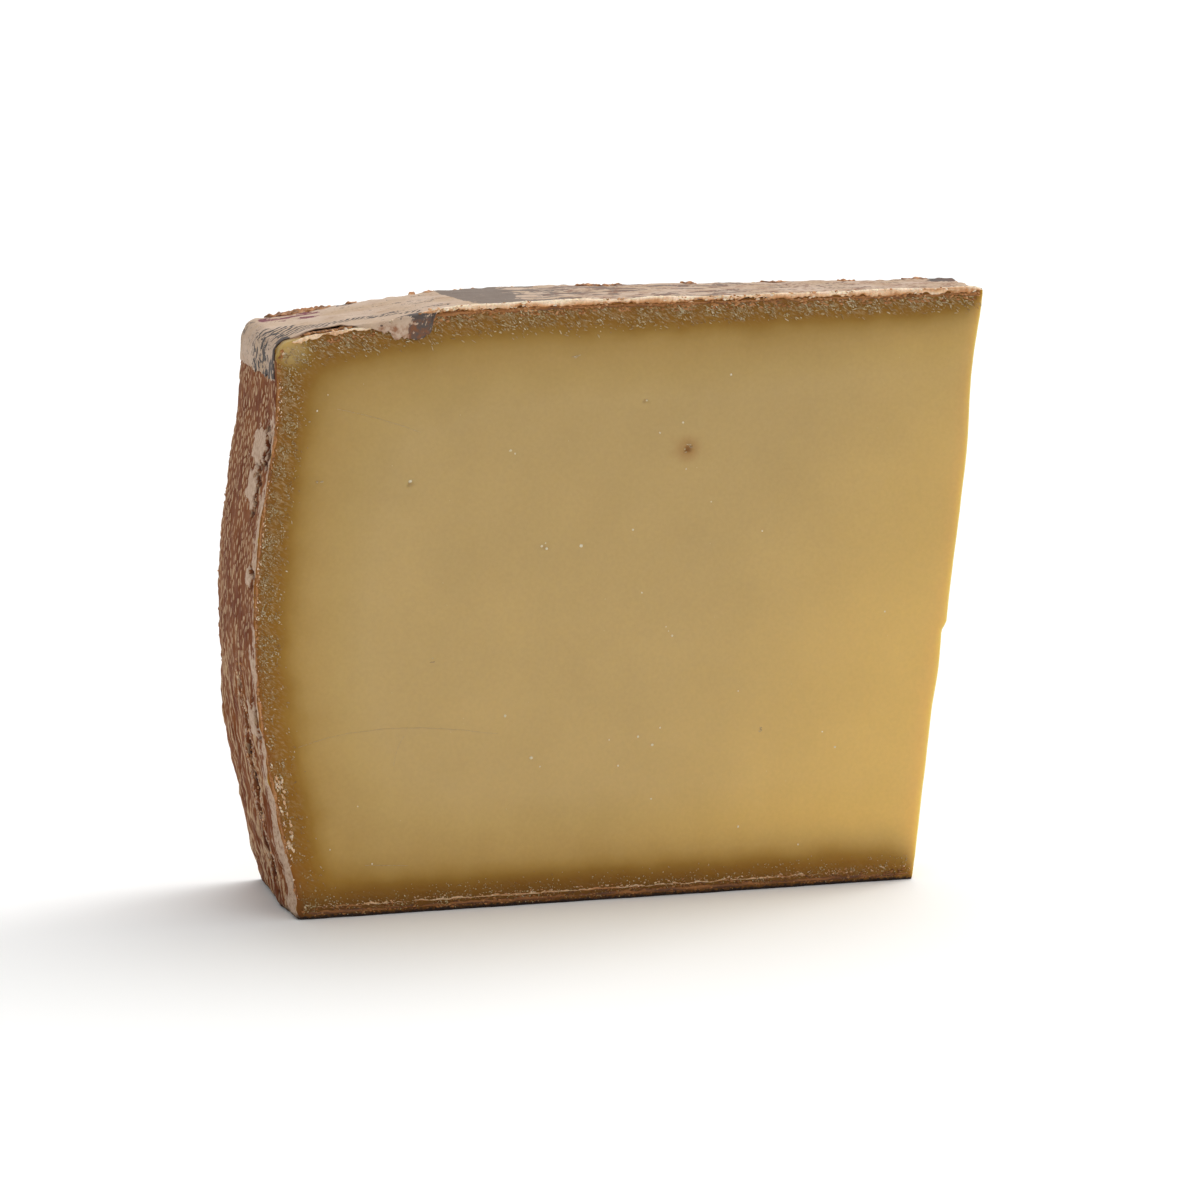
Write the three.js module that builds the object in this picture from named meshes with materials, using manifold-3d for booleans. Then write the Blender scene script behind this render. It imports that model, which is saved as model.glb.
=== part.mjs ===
// An upright slice cut from a wheel of hard, pressed mountain cheese, with the paper label that is
// stuck over the top of the wheel. Millimetres, +Z up.
//
// The slice stands on the wheel's lower face. +X runs from the rim towards the wheel's centre, along
// the middle of the slice. The origin is on the resting face, under the middle of the slice.
//
// It is made the way the real one is: the whole wheel is turned, two cuts are made towards its
// centre, and a third cut, which leans a little, takes off the inner end.

import * as THREE from "three";
import { mergeVertices } from "three/addons/utils/BufferGeometryUtils.js";
import Module from "manifold-3d";

// The whole wheel
const wheelRadius = 300; // at the widest point of the rim
const wheelHeight = 109.4; // at the flat middle of the upper face

// Its rim, which bulges between the two faces
const bulgeHeight = 50; // height of the widest point
const rimLean = { lower: 7, upper: 4.8 }; // how far the rim falls in below and above that point
const lowerShoulder = { radial: 1.6, height: 3.5 }; // the turn from the resting face into the rim
const upperShoulder = { radial: 3.4, height: 4 }; // the turn from the rim into the upper face
const faceDroop = { drop: 4.8, width: 46 }; // the upper face falls towards the rim

// The three cuts
const sliceAngle = 7.2; // degrees between the two long cuts
const sliceLength = 138; // from the widest point of the rim to the top of the inner cut
const innerCutLean = 6.5; // degrees: the inner cut leaves the slice longer at the top

// The paper label over the upper face
const labelThickness = 0.4;
const labelLap = 8; // how far it laps down over the rim
const labelClearance = 0.3; // between the label and the cheese

// How finely curves are drawn
const wheelSegments = 360;
const curveSteps = 12;

const wheelCentreX = wheelRadius - sliceLength / 2;
const halfAngle = THREE.MathUtils.degToRad(sliceAngle / 2);

const wasm = await Module();
wasm.setup();

const rindMaterial = new THREE.MeshStandardMaterial({
  name: "rind and paste",
  color: "#b49a68",
  roughness: 0.55,
  metalness: 0,
});
const paperMaterial = new THREE.MeshStandardMaterial({
  name: "printed paper",
  color: "#c9ad92",
  roughness: 0.85,
  metalness: 0,
});

// The rim's line from the edge of the resting face up to the start of the drooping upper face.
function rimPath() {
  const lowerInset = rimLean.lower + lowerShoulder.radial;
  const upperInset = rimLean.upper + upperShoulder.radial;
  const faceEdge = wheelHeight - faceDroop.drop;
  const shoulderFoot = faceEdge - upperShoulder.height;
  const path = new THREE.Path();
  path.moveTo(wheelRadius - lowerInset, 0);
  path.quadraticCurveTo(
    wheelRadius - rimLean.lower,
    0,
    wheelRadius - rimLean.lower,
    lowerShoulder.height,
  );
  path.bezierCurveTo(
    wheelRadius - rimLean.lower * 0.45,
    THREE.MathUtils.lerp(lowerShoulder.height, bulgeHeight, 0.45),
    wheelRadius,
    THREE.MathUtils.lerp(lowerShoulder.height, bulgeHeight, 0.7),
    wheelRadius,
    bulgeHeight,
  );
  path.bezierCurveTo(
    wheelRadius,
    THREE.MathUtils.lerp(bulgeHeight, shoulderFoot, 0.5),
    wheelRadius - rimLean.upper,
    THREE.MathUtils.lerp(bulgeHeight, shoulderFoot, 0.65),
    wheelRadius - rimLean.upper,
    shoulderFoot,
  );
  path.quadraticCurveTo(
    wheelRadius - rimLean.upper,
    faceEdge,
    wheelRadius - upperInset,
    faceEdge,
  );
  return path;
}

// The upper face, from the shoulder in to the flat middle.
function upperFacePath() {
  const start = wheelRadius - rimLean.upper - upperShoulder.radial;
  const edge = wheelHeight - faceDroop.drop;
  const path = new THREE.Path();
  path.moveTo(start, edge);
  path.bezierCurveTo(
    start - faceDroop.width * 0.4,
    edge + faceDroop.drop * 0.4,
    start - faceDroop.width * 0.6,
    wheelHeight,
    start - faceDroop.width,
    wheelHeight,
  );
  return path;
}

// Points along the wheel's outline, from the edge of the resting face to the flat of the upper face.
function outlinePoints() {
  const rim = rimPath().getPoints(curveSteps);
  const face = upperFacePath().getPoints(curveSteps);
  return [...rim, ...face.slice(1)];
}

// A line of points moved outwards by a distance, square to its own direction.
function offsetPoints(points, distance) {
  return points.map((point, i) => {
    const before = points[Math.max(i - 1, 0)];
    const after = points[Math.min(i + 1, points.length - 1)];
    const along = after.clone().sub(before).normalize();
    return new THREE.Vector2(point.x + along.y * distance, point.y - along.x * distance);
  });
}

// A profile of (radius, height) points turned about the wheel's axis.
function turned(points) {
  return new THREE.LatheGeometry(points, wheelSegments, Math.PI / 2)
    .rotateX(Math.PI / 2)
    .translate(wheelCentreX, 0, 0);
}

function wheelGeometry() {
  const outline = outlinePoints();
  return turned([
    new THREE.Vector2(0, 0),
    ...outline,
    new THREE.Vector2(0, wheelHeight),
  ]);
}

// The part of the outline that is above a height, starting exactly at that height.
function outlineAbove(height) {
  const points = outlinePoints();
  const first = points.findIndex((point) => point.y > height);
  const below = points[first - 1];
  const above = points[first];
  const share = (height - below.y) / (above.y - below.y);
  return [below.clone().lerp(above, share), ...points.slice(first)];
}

// A thin skin over the wheel's upper face, which laps down over the rim.
function labelRingGeometry() {
  const innerEnd = new THREE.Vector2(wheelRadius - sliceLength * 1.2, wheelHeight);
  const line = [...outlineAbove(wheelHeight - faceDroop.drop - labelLap), innerEnd];
  const under = offsetPoints(line, labelClearance);
  const over = offsetPoints(line, labelClearance + labelThickness);
  return turned([...over, ...under.reverse(), over[0].clone()]);
}

// Everything between the two long cuts, as a tall prism with its edge on the wheel's axis.
function sectorGeometry() {
  const reach = wheelRadius * 1.2;
  const margin = wheelHeight * 0.2;
  const plan = new THREE.Shape();
  plan.moveTo(0, 0);
  plan.lineTo(-reach * Math.cos(halfAngle), reach * Math.sin(halfAngle));
  plan.lineTo(-reach * Math.cos(halfAngle), -reach * Math.sin(halfAngle));
  plan.closePath();
  return new THREE.ExtrudeGeometry(plan, {
    depth: wheelHeight + 2 * margin,
    bevelEnabled: false,
  }).translate(wheelCentreX, 0, -margin);
}

// Everything beyond the inner cut, as a block whose face leans and passes through the top edge.
function innerWasteGeometry() {
  const top = wheelHeight + labelClearance + labelThickness;
  const block = new THREE.BoxGeometry(wheelRadius, wheelRadius, wheelHeight * 3);
  block.translate(wheelRadius / 2, 0, 0);
  block.rotateY(THREE.MathUtils.degToRad(innerCutLean));
  return block.translate(sliceLength / 2, 0, top);
}

function solidOf(geometry) {
  const bare = geometry.clone();
  bare.deleteAttribute("normal");
  bare.deleteAttribute("uv");
  const merged = mergeVertices(bare, 1e-4);
  return new wasm.Manifold(
    new wasm.Mesh({
      numProp: 3,
      vertProperties: new Float32Array(merged.attributes.position.array),
      triVerts: new Uint32Array(merged.index.array),
    }),
  );
}

function geometryOf(solid) {
  const mesh = solid.getMesh();
  const geometry = new THREE.BufferGeometry();
  geometry.setAttribute("position", new THREE.BufferAttribute(mesh.vertProperties, 3));
  geometry.setIndex(new THREE.BufferAttribute(mesh.triVerts, 1));
  return geometry.toNonIndexed();
}

// The part of a turned body that the three cuts leave in the slice.
function cutOut(geometry) {
  return solidOf(geometry)
    .intersect(solidOf(sectorGeometry()))
    .subtract(solidOf(innerWasteGeometry()));
}

function namedMesh(name, solid, material) {
  const geometry = geometryOf(solid);
  geometry.computeVertexNormals();
  const mesh = new THREE.Mesh(geometry, material);
  mesh.name = name;
  return mesh;
}

const slice = new THREE.Group();
slice.add(namedMesh("cheese_wedge", cutOut(wheelGeometry()), rindMaterial));
slice.add(namedMesh("paper_label", cutOut(labelRingGeometry()), paperMaterial));

export default slice;
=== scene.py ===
import math
import random

import bmesh
import bpy
import numpy as np
from mathutils import Matrix, Vector, noise
from mathutils.bvhtree import BVHTree


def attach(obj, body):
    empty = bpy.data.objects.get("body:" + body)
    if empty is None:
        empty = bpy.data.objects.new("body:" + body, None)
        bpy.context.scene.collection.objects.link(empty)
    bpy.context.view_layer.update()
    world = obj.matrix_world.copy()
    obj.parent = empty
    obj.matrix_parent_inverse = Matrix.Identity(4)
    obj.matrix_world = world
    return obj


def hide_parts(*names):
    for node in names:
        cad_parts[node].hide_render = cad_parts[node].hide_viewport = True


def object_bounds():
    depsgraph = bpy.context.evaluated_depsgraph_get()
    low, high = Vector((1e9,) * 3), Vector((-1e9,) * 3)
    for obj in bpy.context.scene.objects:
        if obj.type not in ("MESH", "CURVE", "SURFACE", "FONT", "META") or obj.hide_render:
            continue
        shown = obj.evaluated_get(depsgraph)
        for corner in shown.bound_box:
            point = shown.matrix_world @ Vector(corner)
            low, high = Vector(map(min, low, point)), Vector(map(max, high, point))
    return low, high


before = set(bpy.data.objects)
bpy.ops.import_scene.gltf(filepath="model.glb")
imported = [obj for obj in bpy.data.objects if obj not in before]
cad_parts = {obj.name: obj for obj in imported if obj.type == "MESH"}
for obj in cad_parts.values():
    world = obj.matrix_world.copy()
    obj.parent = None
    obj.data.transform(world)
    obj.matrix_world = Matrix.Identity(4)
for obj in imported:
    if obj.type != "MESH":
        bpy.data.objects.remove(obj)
cadLow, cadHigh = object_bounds()
mm = 0.001  # the scene is in metres; sizes here are typed in millimetres


camera = {
    "azimuth": -13.74,  # degrees round the slice; 0 looks straight at the cut face
    "elevation": 9.26,
    "distance": 0.9788,
    "lens": 162.3,
    "aimAcross": -4.2 * mm,  # from the middle of the slice
    "aimBehindFace": 4.0 * mm,  # behind the widest point of the near side
    "aimAboveMiddle": 0.5 * mm,
}


# The way from the slice to a camera or a light
def directionFrom(setting):
    turn = math.radians(setting["azimuth"])
    rise = math.radians(setting["elevation"])
    return Vector((math.sin(turn) * math.cos(rise), -math.cos(turn) * math.cos(rise), math.sin(rise)))


def makeCamera():
    data = bpy.data.cameras.new("camera")
    data.lens = camera["lens"]
    data.sensor_width = 36
    data.clip_start = 0.05
    data.clip_end = 20
    made = bpy.data.objects.new("camera", data)
    bpy.context.scene.collection.objects.link(made)
    middle = (cadLow + cadHigh) / 2
    target = Vector((
        middle.x + camera["aimAcross"],
        cadLow.y + camera["aimBehindFace"],
        middle.z + camera["aimAboveMiddle"],
    ))
    back = directionFrom(camera)
    made.location = target + back * camera["distance"]
    made.rotation_mode = "QUATERNION"
    made.rotation_quaternion = (-back).to_track_quat("-Z", "Y")
    bpy.context.scene.camera = made


# Large soft lights: the direction each comes from, its spread in degrees and its strength
softLights = {
    "keyAbove": {"azimuth": 140, "elevation": 58, "spread": 55, "strength": 1.5},
    "backRight": {"azimuth": 112, "elevation": 26, "spread": 35, "strength": 1.1},
    "frontRight": {"azimuth": 35, "elevation": 25, "spread": 60, "strength": 0.35},
}
surround = {"light": 0.58, "backdrop": 1.0}


def makeLights():
    for name, light in softLights.items():
        data = bpy.data.lights.new(name, "SUN")
        data.energy = light["strength"]
        data.angle = math.radians(light["spread"])
        made = bpy.data.objects.new(name, data)
        bpy.context.scene.collection.objects.link(made)
        made.rotation_mode = "QUATERNION"
        made.rotation_quaternion = directionFrom(light).to_track_quat("Z", "Y")
    world = bpy.data.worlds.new("studio")
    bpy.context.scene.world = world
    world.use_nodes = True
    sky = world.node_tree.nodes["Background"]
    sky.inputs["Color"].default_value = (1, 1, 1, 1)
    seen = add(world.node_tree, "LightPath", {}, "Is Camera Ray")
    strength = {0: seen, 3: surround["light"], 4: surround["backdrop"]}
    world.node_tree.links.new(add(world.node_tree, "MapRange", strength), sky.inputs["Strength"])


def hexColour(text):
    channels = [int(text[i:i + 2], 16) / 255 for i in (1, 3, 5)]
    return [c / 12.92 if c <= 0.04045 else ((c + 0.055) / 1.055) ** 2.4 for c in channels] + [1]


# Adds a node and gives back one of its outputs. Each input is a value, or an output to link it to.
def add(tree, kind, inputs, out=0, stops=(), **settings):
    node = tree.nodes.new("ShaderNode" + kind)
    for name, value in settings.items():
        setattr(node, name, value)
    for name, value in inputs.items():
        if isinstance(value, bpy.types.NodeSocket):
            tree.links.new(value, node.inputs[name])
        else:
            node.inputs[name].default_value = value
    for number, (place, colour) in enumerate(stops):
        if number > 1:
            node.color_ramp.elements.new(place)
        node.color_ramp.elements[number].position = place
        node.color_ramp.elements[number].color = hexColour(colour)
    return node.outputs[out]


# A material with its shader, and the object's own coordinates in millimetres
def newMaterial(name):
    material = bpy.data.materials.new(name)
    material.use_nodes = True
    tree = material.node_tree
    tree.nodes.clear()
    shader = add(tree, "BsdfPrincipled", {})
    tree.links.new(shader, tree.nodes.new("ShaderNodeOutputMaterial").inputs[0])
    place = add(tree, "TexCoord", {}, "Object")
    place = add(tree, "Mapping", {"Vector": place, "Scale": (1000, 1000, 1000)})
    return material, tree, shader.node.inputs, place


paste = {
    # colour by depth under the rind, in mm: dark and glassy next to the rind, pale inside
    "depths": [
        (0.0, "#845114"), (0.8, "#895a1a"), (2.6, "#8d601a"), (4.2, "#906418"), (5.6, "#987128"),
        (7.0, "#a58240"), (8.6, "#af8e4f"), (11.0, "#b69659"), (15.0, "#bb9d61"), (20.0, "#bfa26a"),
    ],
    "deepest": 20.0,
    "heart": "#dfb762",  # yellower towards the middle of the wheel
    "heartShare": 0.6,
    "fleck": "#ba9f77",
    "halo": "#96642e",  # round an opening that dried out
    # painted shade: the grey that darkens the foot of the slice towards the floor
    "foot": "#d2ccc0",
    "paintedLightByHeight": (1.1, 0.9),  # painted light: paler low down, darker high up
    "cloudSize": 14,
    "fineSize": 0.7,
    "dragAngle": 32,  # degrees below level that the knife drew the crumbs
    "letsLightIn": 5 * mm,
}


# Pressed cooked cheese cut with a knife: a fine, close, waxy paste. Light goes a few millimetres into
# it, which softens every shadow and makes the thin end glow; a painted glow also makes the thin corner and
# the inner edge paler.
def pasteMaterial():
    material, tree, shader, place = newMaterial("pressedCheeseCutPaste")
    # the depth under the rind, with a painted glow added at the thin corner and the inner edge that makes
    # them paler
    depth = add(tree, "Attribute", {}, "Fac", attribute_name="rindDepthWithPaintedGlow")
    wander = add(tree, "TexNoise", {"Vector": place, "Scale": 1 / 7, "Detail": 3})
    wandered = add(tree, "Math", {0: wander, 1: 2.6, 2: depth}, operation="MULTIPLY_ADD")
    share = add(tree, "MapRange", {0: wandered, 1: 1.3, 2: paste["deepest"] + 1.3})
    stops = [(d / paste["deepest"], colour) for d, colour in paste["depths"]]
    colour = add(tree, "ValToRGB", {0: share}, stops=stops)
    across = add(tree, "SeparateXYZ", {0: place})
    up = add(tree, "SeparateXYZ", {0: place}, 2)
    inward = add(tree, "Math", {0: up, 1: -0.5, 2: across}, operation="MULTIPLY_ADD")
    heart = add(tree, "MapRange", {0: inward, 1: -20, 2: 50, 3: 0, 4: paste["heartShare"]},
                interpolation_type="SMOOTHSTEP")
    inside = add(tree, "MapRange", {0: depth, 1: 5, 2: 14}, interpolation_type="SMOOTHSTEP")
    heart = add(tree, "Math", {0: heart, 1: inside}, operation="MULTIPLY")
    colour = add(tree, "Mix", {0: heart, 6: colour, 7: hexColour(paste["heart"])}, 2, data_type="RGBA")

    # faint clouds, and the fine grain of the pressed curd
    cloud = add(tree, "TexNoise", {"Vector": place, "Scale": 1 / paste["cloudSize"], "Detail": 4})
    cloud = add(tree, "MapRange", {0: cloud, 1: 0.3, 2: 0.7, 3: 0.965, 4: 1.03})
    curd = add(tree, "TexNoise", {"Vector": place, "Scale": 1 / paste["fineSize"], "Detail": 2})
    curd = add(tree, "MapRange", {0: curd, 1: 0.3, 2: 0.7, 3: 0.975, 4: 1.025})
    shade = add(tree, "Math", {0: cloud, 1: curd}, operation="MULTIPLY")
    # painted light and shade: the paste is made paler low down and darker high up
    paintedLightByHeight = add(tree, "MapRange", {0: up, 1: 10, 2: 95, 3: paste["paintedLightByHeight"][0], 4: paste["paintedLightByHeight"][1]})
    shade = add(tree, "Math", {0: shade, 1: paintedLightByHeight}, operation="MULTIPLY")
    colour = add(tree, "Mix", {0: 1.0, 6: colour, 7: shade}, 2, data_type="RGBA", blend_type="MULTIPLY")

    # the dry band under the rind is covered in fine torn flecks, all drawn the way the knife went
    outer = add(tree, "MapRange", {0: depth, 1: 0.3, 2: 1.2}, interpolation_type="SMOOTHSTEP")
    inner = add(tree, "MapRange", {0: wandered, 1: 7.3, 2: 3.8}, interpolation_type="SMOOTHSTEP")
    band = add(tree, "Math", {0: outer, 1: inner}, operation="MULTIPLY")
    level = add(tree, "Mapping", {"Vector": place, "Rotation": (0, -math.radians(paste["dragAngle"]), 0)})
    level = add(tree, "Mapping", {"Vector": level, "Scale": (1 / 1.1, 1 / 1.1, 1 / 0.36)})
    torn = add(tree, "TexNoise", {"Vector": level, "Scale": 1, "Detail": 3, "Roughness": 0.6})
    torn = add(tree, "MapRange", {0: torn, 1: 0.48, 2: 0.7})
    fleck = add(tree, "Math", {0: torn, 1: band}, operation="MULTIPLY")
    fewer = add(tree, "MapRange", {0: up, 1: 9, 2: 40, 3: 0.25, 4: 1})
    fleck = add(tree, "Math", {0: fleck, 1: fewer}, operation="MULTIPLY")
    amount = add(tree, "Math", {0: fleck, 1: 0.7}, operation="MULTIPLY")
    colour = add(tree, "Mix", {0: amount, 6: colour, 7: hexColour(paste["fleck"])}, 2, data_type="RGBA")
    halo = add(tree, "Attribute", {}, "Fac", attribute_name="stain")
    colour = add(tree, "Mix", {0: halo, 6: colour, 7: hexColour(paste["halo"])}, 2, data_type="RGBA")

    # painted shade: the foot of the slice is darkened towards the floor, less towards the inner end, and a
    # painted shadow turns it black along the bottom edge
    floorShade = add(tree, "MapRange", {0: up, 1: 8, 2: 1}, interpolation_type="SMOOTHSTEP")
    lessInside = add(tree, "MapRange", {0: across, 1: 10, 2: 50, 3: 1, 4: 0.4})
    floorShade = add(tree, "Math", {0: floorShade, 1: lessInside}, operation="MULTIPLY")
    colour = add(tree, "Mix", {0: floorShade, 6: colour, 7: hexColour(paste["foot"])}, 2,
                 data_type="RGBA", blend_type="MULTIPLY")
    # painted shadow: the cut face turns near black along its bottom edge
    speck = add(tree, "TexNoise", {"Vector": place, "Scale": 1.6, "Detail": 3})
    soleShadow = add(tree, "Math", {0: speck, 1: 1.6, 2: up}, operation="MULTIPLY_ADD")
    soleShadow = add(tree, "MapRange", {0: soleShadow, 1: 1.7, 2: 1.2})
    colour = add(tree, "Mix", {0: soleShadow, 6: colour, 7: hexColour(rind["soleShadow"])}, 2, data_type="RGBA")
    tree.links.new(colour, shader["Base Color"])

    sweat = add(tree, "TexNoise", {"Vector": place, "Scale": 1 / 5, "Detail": 4})
    sweat = add(tree, "MapRange", {0: sweat, 1: 0.3, 2: 0.7, 3: 0.42, 4: 0.52})
    rough = add(tree, "Math", {0: band, 1: 0.16, 2: sweat}, operation="MULTIPLY_ADD")
    tree.links.new(rough, shader["Roughness"])
    height = add(tree, "Math", {0: fleck, 1: 2.0, 2: curd}, operation="MULTIPLY_ADD")
    bump = add(tree, "Bump", {"Height": height, "Strength": 0.35, "Distance": 0.12 * mm})
    tree.links.new(bump, shader["Normal"])
    shader["Subsurface Weight"].default_value = 0.5
    shader["Subsurface Radius"].default_value = (1.0, 0.76, 0.36)
    shader["Subsurface Scale"].default_value = paste["letsLightIn"]
    shader["IOR"].default_value = 1.45
    shader["Specular IOR Level"].default_value = 0.25  # a cut face scatters most of its shine
    return material


rind = {
    "brown": "#86502a",
    "dark": "#6a300a",
    "cream": "#c9aa86",
    "pale": "#ccb29a",
    # painted shade in the rim's crack and in the pits beside the flakes
    "crack": "#3a1c10",
    "soleShadow": "#2a1a12",  # painted shadow: near black along the bottom edge, where the slice meets the shelf
    "fibre": (0.4, 0.4, 1.4),  # size of the cloth's marks, in mm
}


# Natural rind, washed and brushed while it ages: dry and red-brown, with cream bloom where the
# pressing cloth printed it
def rindMaterial():
    material, tree, shader, place = newMaterial("washedNaturalRind")
    broad = add(tree, "TexNoise", {"Vector": place, "Scale": 1 / 6, "Detail": 4})
    broad = add(tree, "MapRange", {0: broad, 1: 0.35, 2: 0.65})
    brown, dark = hexColour(rind["brown"]), hexColour(rind["dark"])
    colour = add(tree, "Mix", {0: broad, 6: brown, 7: dark}, 2, data_type="RGBA")
    imprint = add(tree, "Attribute", {}, "Fac", attribute_name="imprint")
    fitted = add(tree, "Mapping", {"Vector": place, "Scale": [1 / size for size in rind["fibre"]]})
    fibre = add(tree, "TexNoise", {"Vector": fitted, "Scale": 1, "Detail": 3, "Roughness": 0.6})
    dash = add(tree, "Math", {0: fibre, 1: 1.4, 2: imprint}, operation="MULTIPLY_ADD")
    dash = add(tree, "MapRange", {0: dash, 1: 1.02, 2: 1.45, 3: 0, 4: 0.85})
    grit = add(tree, "TexNoise", {"Vector": place, "Scale": 1 / 0.8, "Detail": 4, "Roughness": 0.65})
    worn = add(tree, "MapRange", {0: grit, 1: 0.38, 2: 0.6, 3: 0.6, 4: 1})
    dash = add(tree, "Math", {0: dash, 1: worn}, operation="MULTIPLY")
    colour = add(tree, "Mix", {0: dash, 6: colour, 7: hexColour(rind["cream"])}, 2, data_type="RGBA")
    patch = add(tree, "Attribute", {}, "Fac", attribute_name="patch")
    pale = add(tree, "Math", {0: grit, 1: 1.2, 2: patch}, operation="MULTIPLY_ADD")
    pale = add(tree, "MapRange", {0: pale, 1: 0.95, 2: 1.25, 3: 0, 4: 0.95})
    pale = add(tree, "Math", {0: pale, 1: worn}, operation="MULTIPLY")
    colour = add(tree, "Mix", {0: pale, 6: colour, 7: hexColour(rind["pale"])}, 2, data_type="RGBA")
    # painted shade: the crack and the pits beside the flakes are coloured dark
    crack = add(tree, "Attribute", {}, "Fac", attribute_name="crack")
    colour = add(tree, "Mix", {0: crack, 6: colour, 7: hexColour(rind["crack"])}, 2, data_type="RGBA")
    # painted shadow: the rind turns near black along its bottom edge
    up = add(tree, "SeparateXYZ", {0: place}, 2)
    soleShadow = add(tree, "Math", {0: grit, 1: 2.2, 2: up}, operation="MULTIPLY_ADD")
    soleShadow = add(tree, "MapRange", {0: soleShadow, 1: 2.6, 2: 1.2})
    colour = add(tree, "Mix", {0: soleShadow, 6: colour, 7: hexColour(rind["soleShadow"])}, 2, data_type="RGBA")
    tree.links.new(colour, shader["Base Color"])
    height = add(tree, "Math", {0: grit, 1: 0.6, 2: fibre}, operation="MULTIPLY_ADD")
    bump = add(tree, "Bump", {"Height": height, "Strength": 0.5, "Distance": 0.25 * mm})
    tree.links.new(bump, shader["Normal"])
    shader["Roughness"].default_value = 0.72
    shader["IOR"].default_value = 1.45
    shader["Specular IOR Level"].default_value = 0.15
    return material


crumb = {
    # by the tone of each crumb: brown rind, amber paste, then dry cream bloom
    "rindTones": [(0.0, "#583112"), (0.22, "#935c22"), (0.45, "#be8450"), (0.7, "#e0b890"), (1.0, "#f8e2c6")],
    "pasteTones": [(0.0, "#74501f"), (0.3, "#9c7a48"), (0.6, "#bda57c"), (1.0, "#e2d5b8")],
    "speck": 0.35,
}


# Crumbs and slivers that the knife tore from under the rind: dry curd, amber to cream
def crumbMaterial(name, tones):
    material, tree, shader, place = newMaterial(name)
    tone = add(tree, "Attribute", {}, "Fac", attribute_name="tone")
    colour = add(tree, "ValToRGB", {0: tone}, stops=tones)
    speck = add(tree, "TexNoise", {"Vector": place, "Scale": 1 / crumb["speck"], "Detail": 2})
    speck = add(tree, "MapRange", {0: speck, 1: 0.3, 2: 0.7, 3: 0.82, 4: 1.12})
    colour = add(tree, "Mix", {0: 1.0, 6: colour, 7: speck}, 2, data_type="RGBA", blend_type="MULTIPLY")
    tree.links.new(colour, shader["Base Color"])
    shader["Roughness"].default_value = 0.6
    shader["Subsurface Weight"].default_value = 0.3
    shader["Subsurface Radius"].default_value = (1.0, 0.6, 0.3)
    shader["Subsurface Scale"].default_value = 0.6 * mm
    return material


# Crystals that grow in the paste as it ages: hard white grains with a dull sparkle
def crystalMaterial():
    material, tree, shader, place = newMaterial("cheeseCrystal")
    shade = add(tree, "TexNoise", {"Vector": place, "Scale": 2.5, "Detail": 2})
    colour = add(tree, "ValToRGB", {0: shade}, stops=[(0.3, "#cfc09a"), (0.7, "#e9e0c8")])
    tree.links.new(colour, shader["Base Color"])
    shader["Roughness"].default_value = 0.4
    shader["Subsurface Weight"].default_value = 0.4
    shader["Subsurface Radius"].default_value = (1.0, 0.9, 0.7)
    shader["Subsurface Scale"].default_value = 0.5 * mm
    return material


label = {
    "paper": "#ba9e82",
    "pinkish": "#c6ae9a",
    "soaked": "#9a7048",
    "fibre": "#dcc6ac",
    "dirt": "#6b5340",
    "inks": {"greyPrint": "#6f6157", "darkPrint": "#3b3637", "redPrint": "#6c1c36"},
    "hatch": "#2c2829",
    "thickness": 0.18,
    "gap": 0.12,  # the paste under the paper
    "stepAlong": 0.42,
    "rows": 66,
    "lowest": 96.6,  # mm up the rim that the lap starts
    "fold": 0.45,  # radius of the fold over the near edge
    "overhang": 0.12,  # how far the paper turns down over the near cut edge
    "flap": {"from": 20.5, "to": 33.2, "reach": 3.9},  # a torn piece that hangs over the cut face
    "missing": {"from": 4.6, "to": 17.5, "width": 2.4},  # where the near border is torn off
    "wrinkles": 0.16,
}


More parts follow.
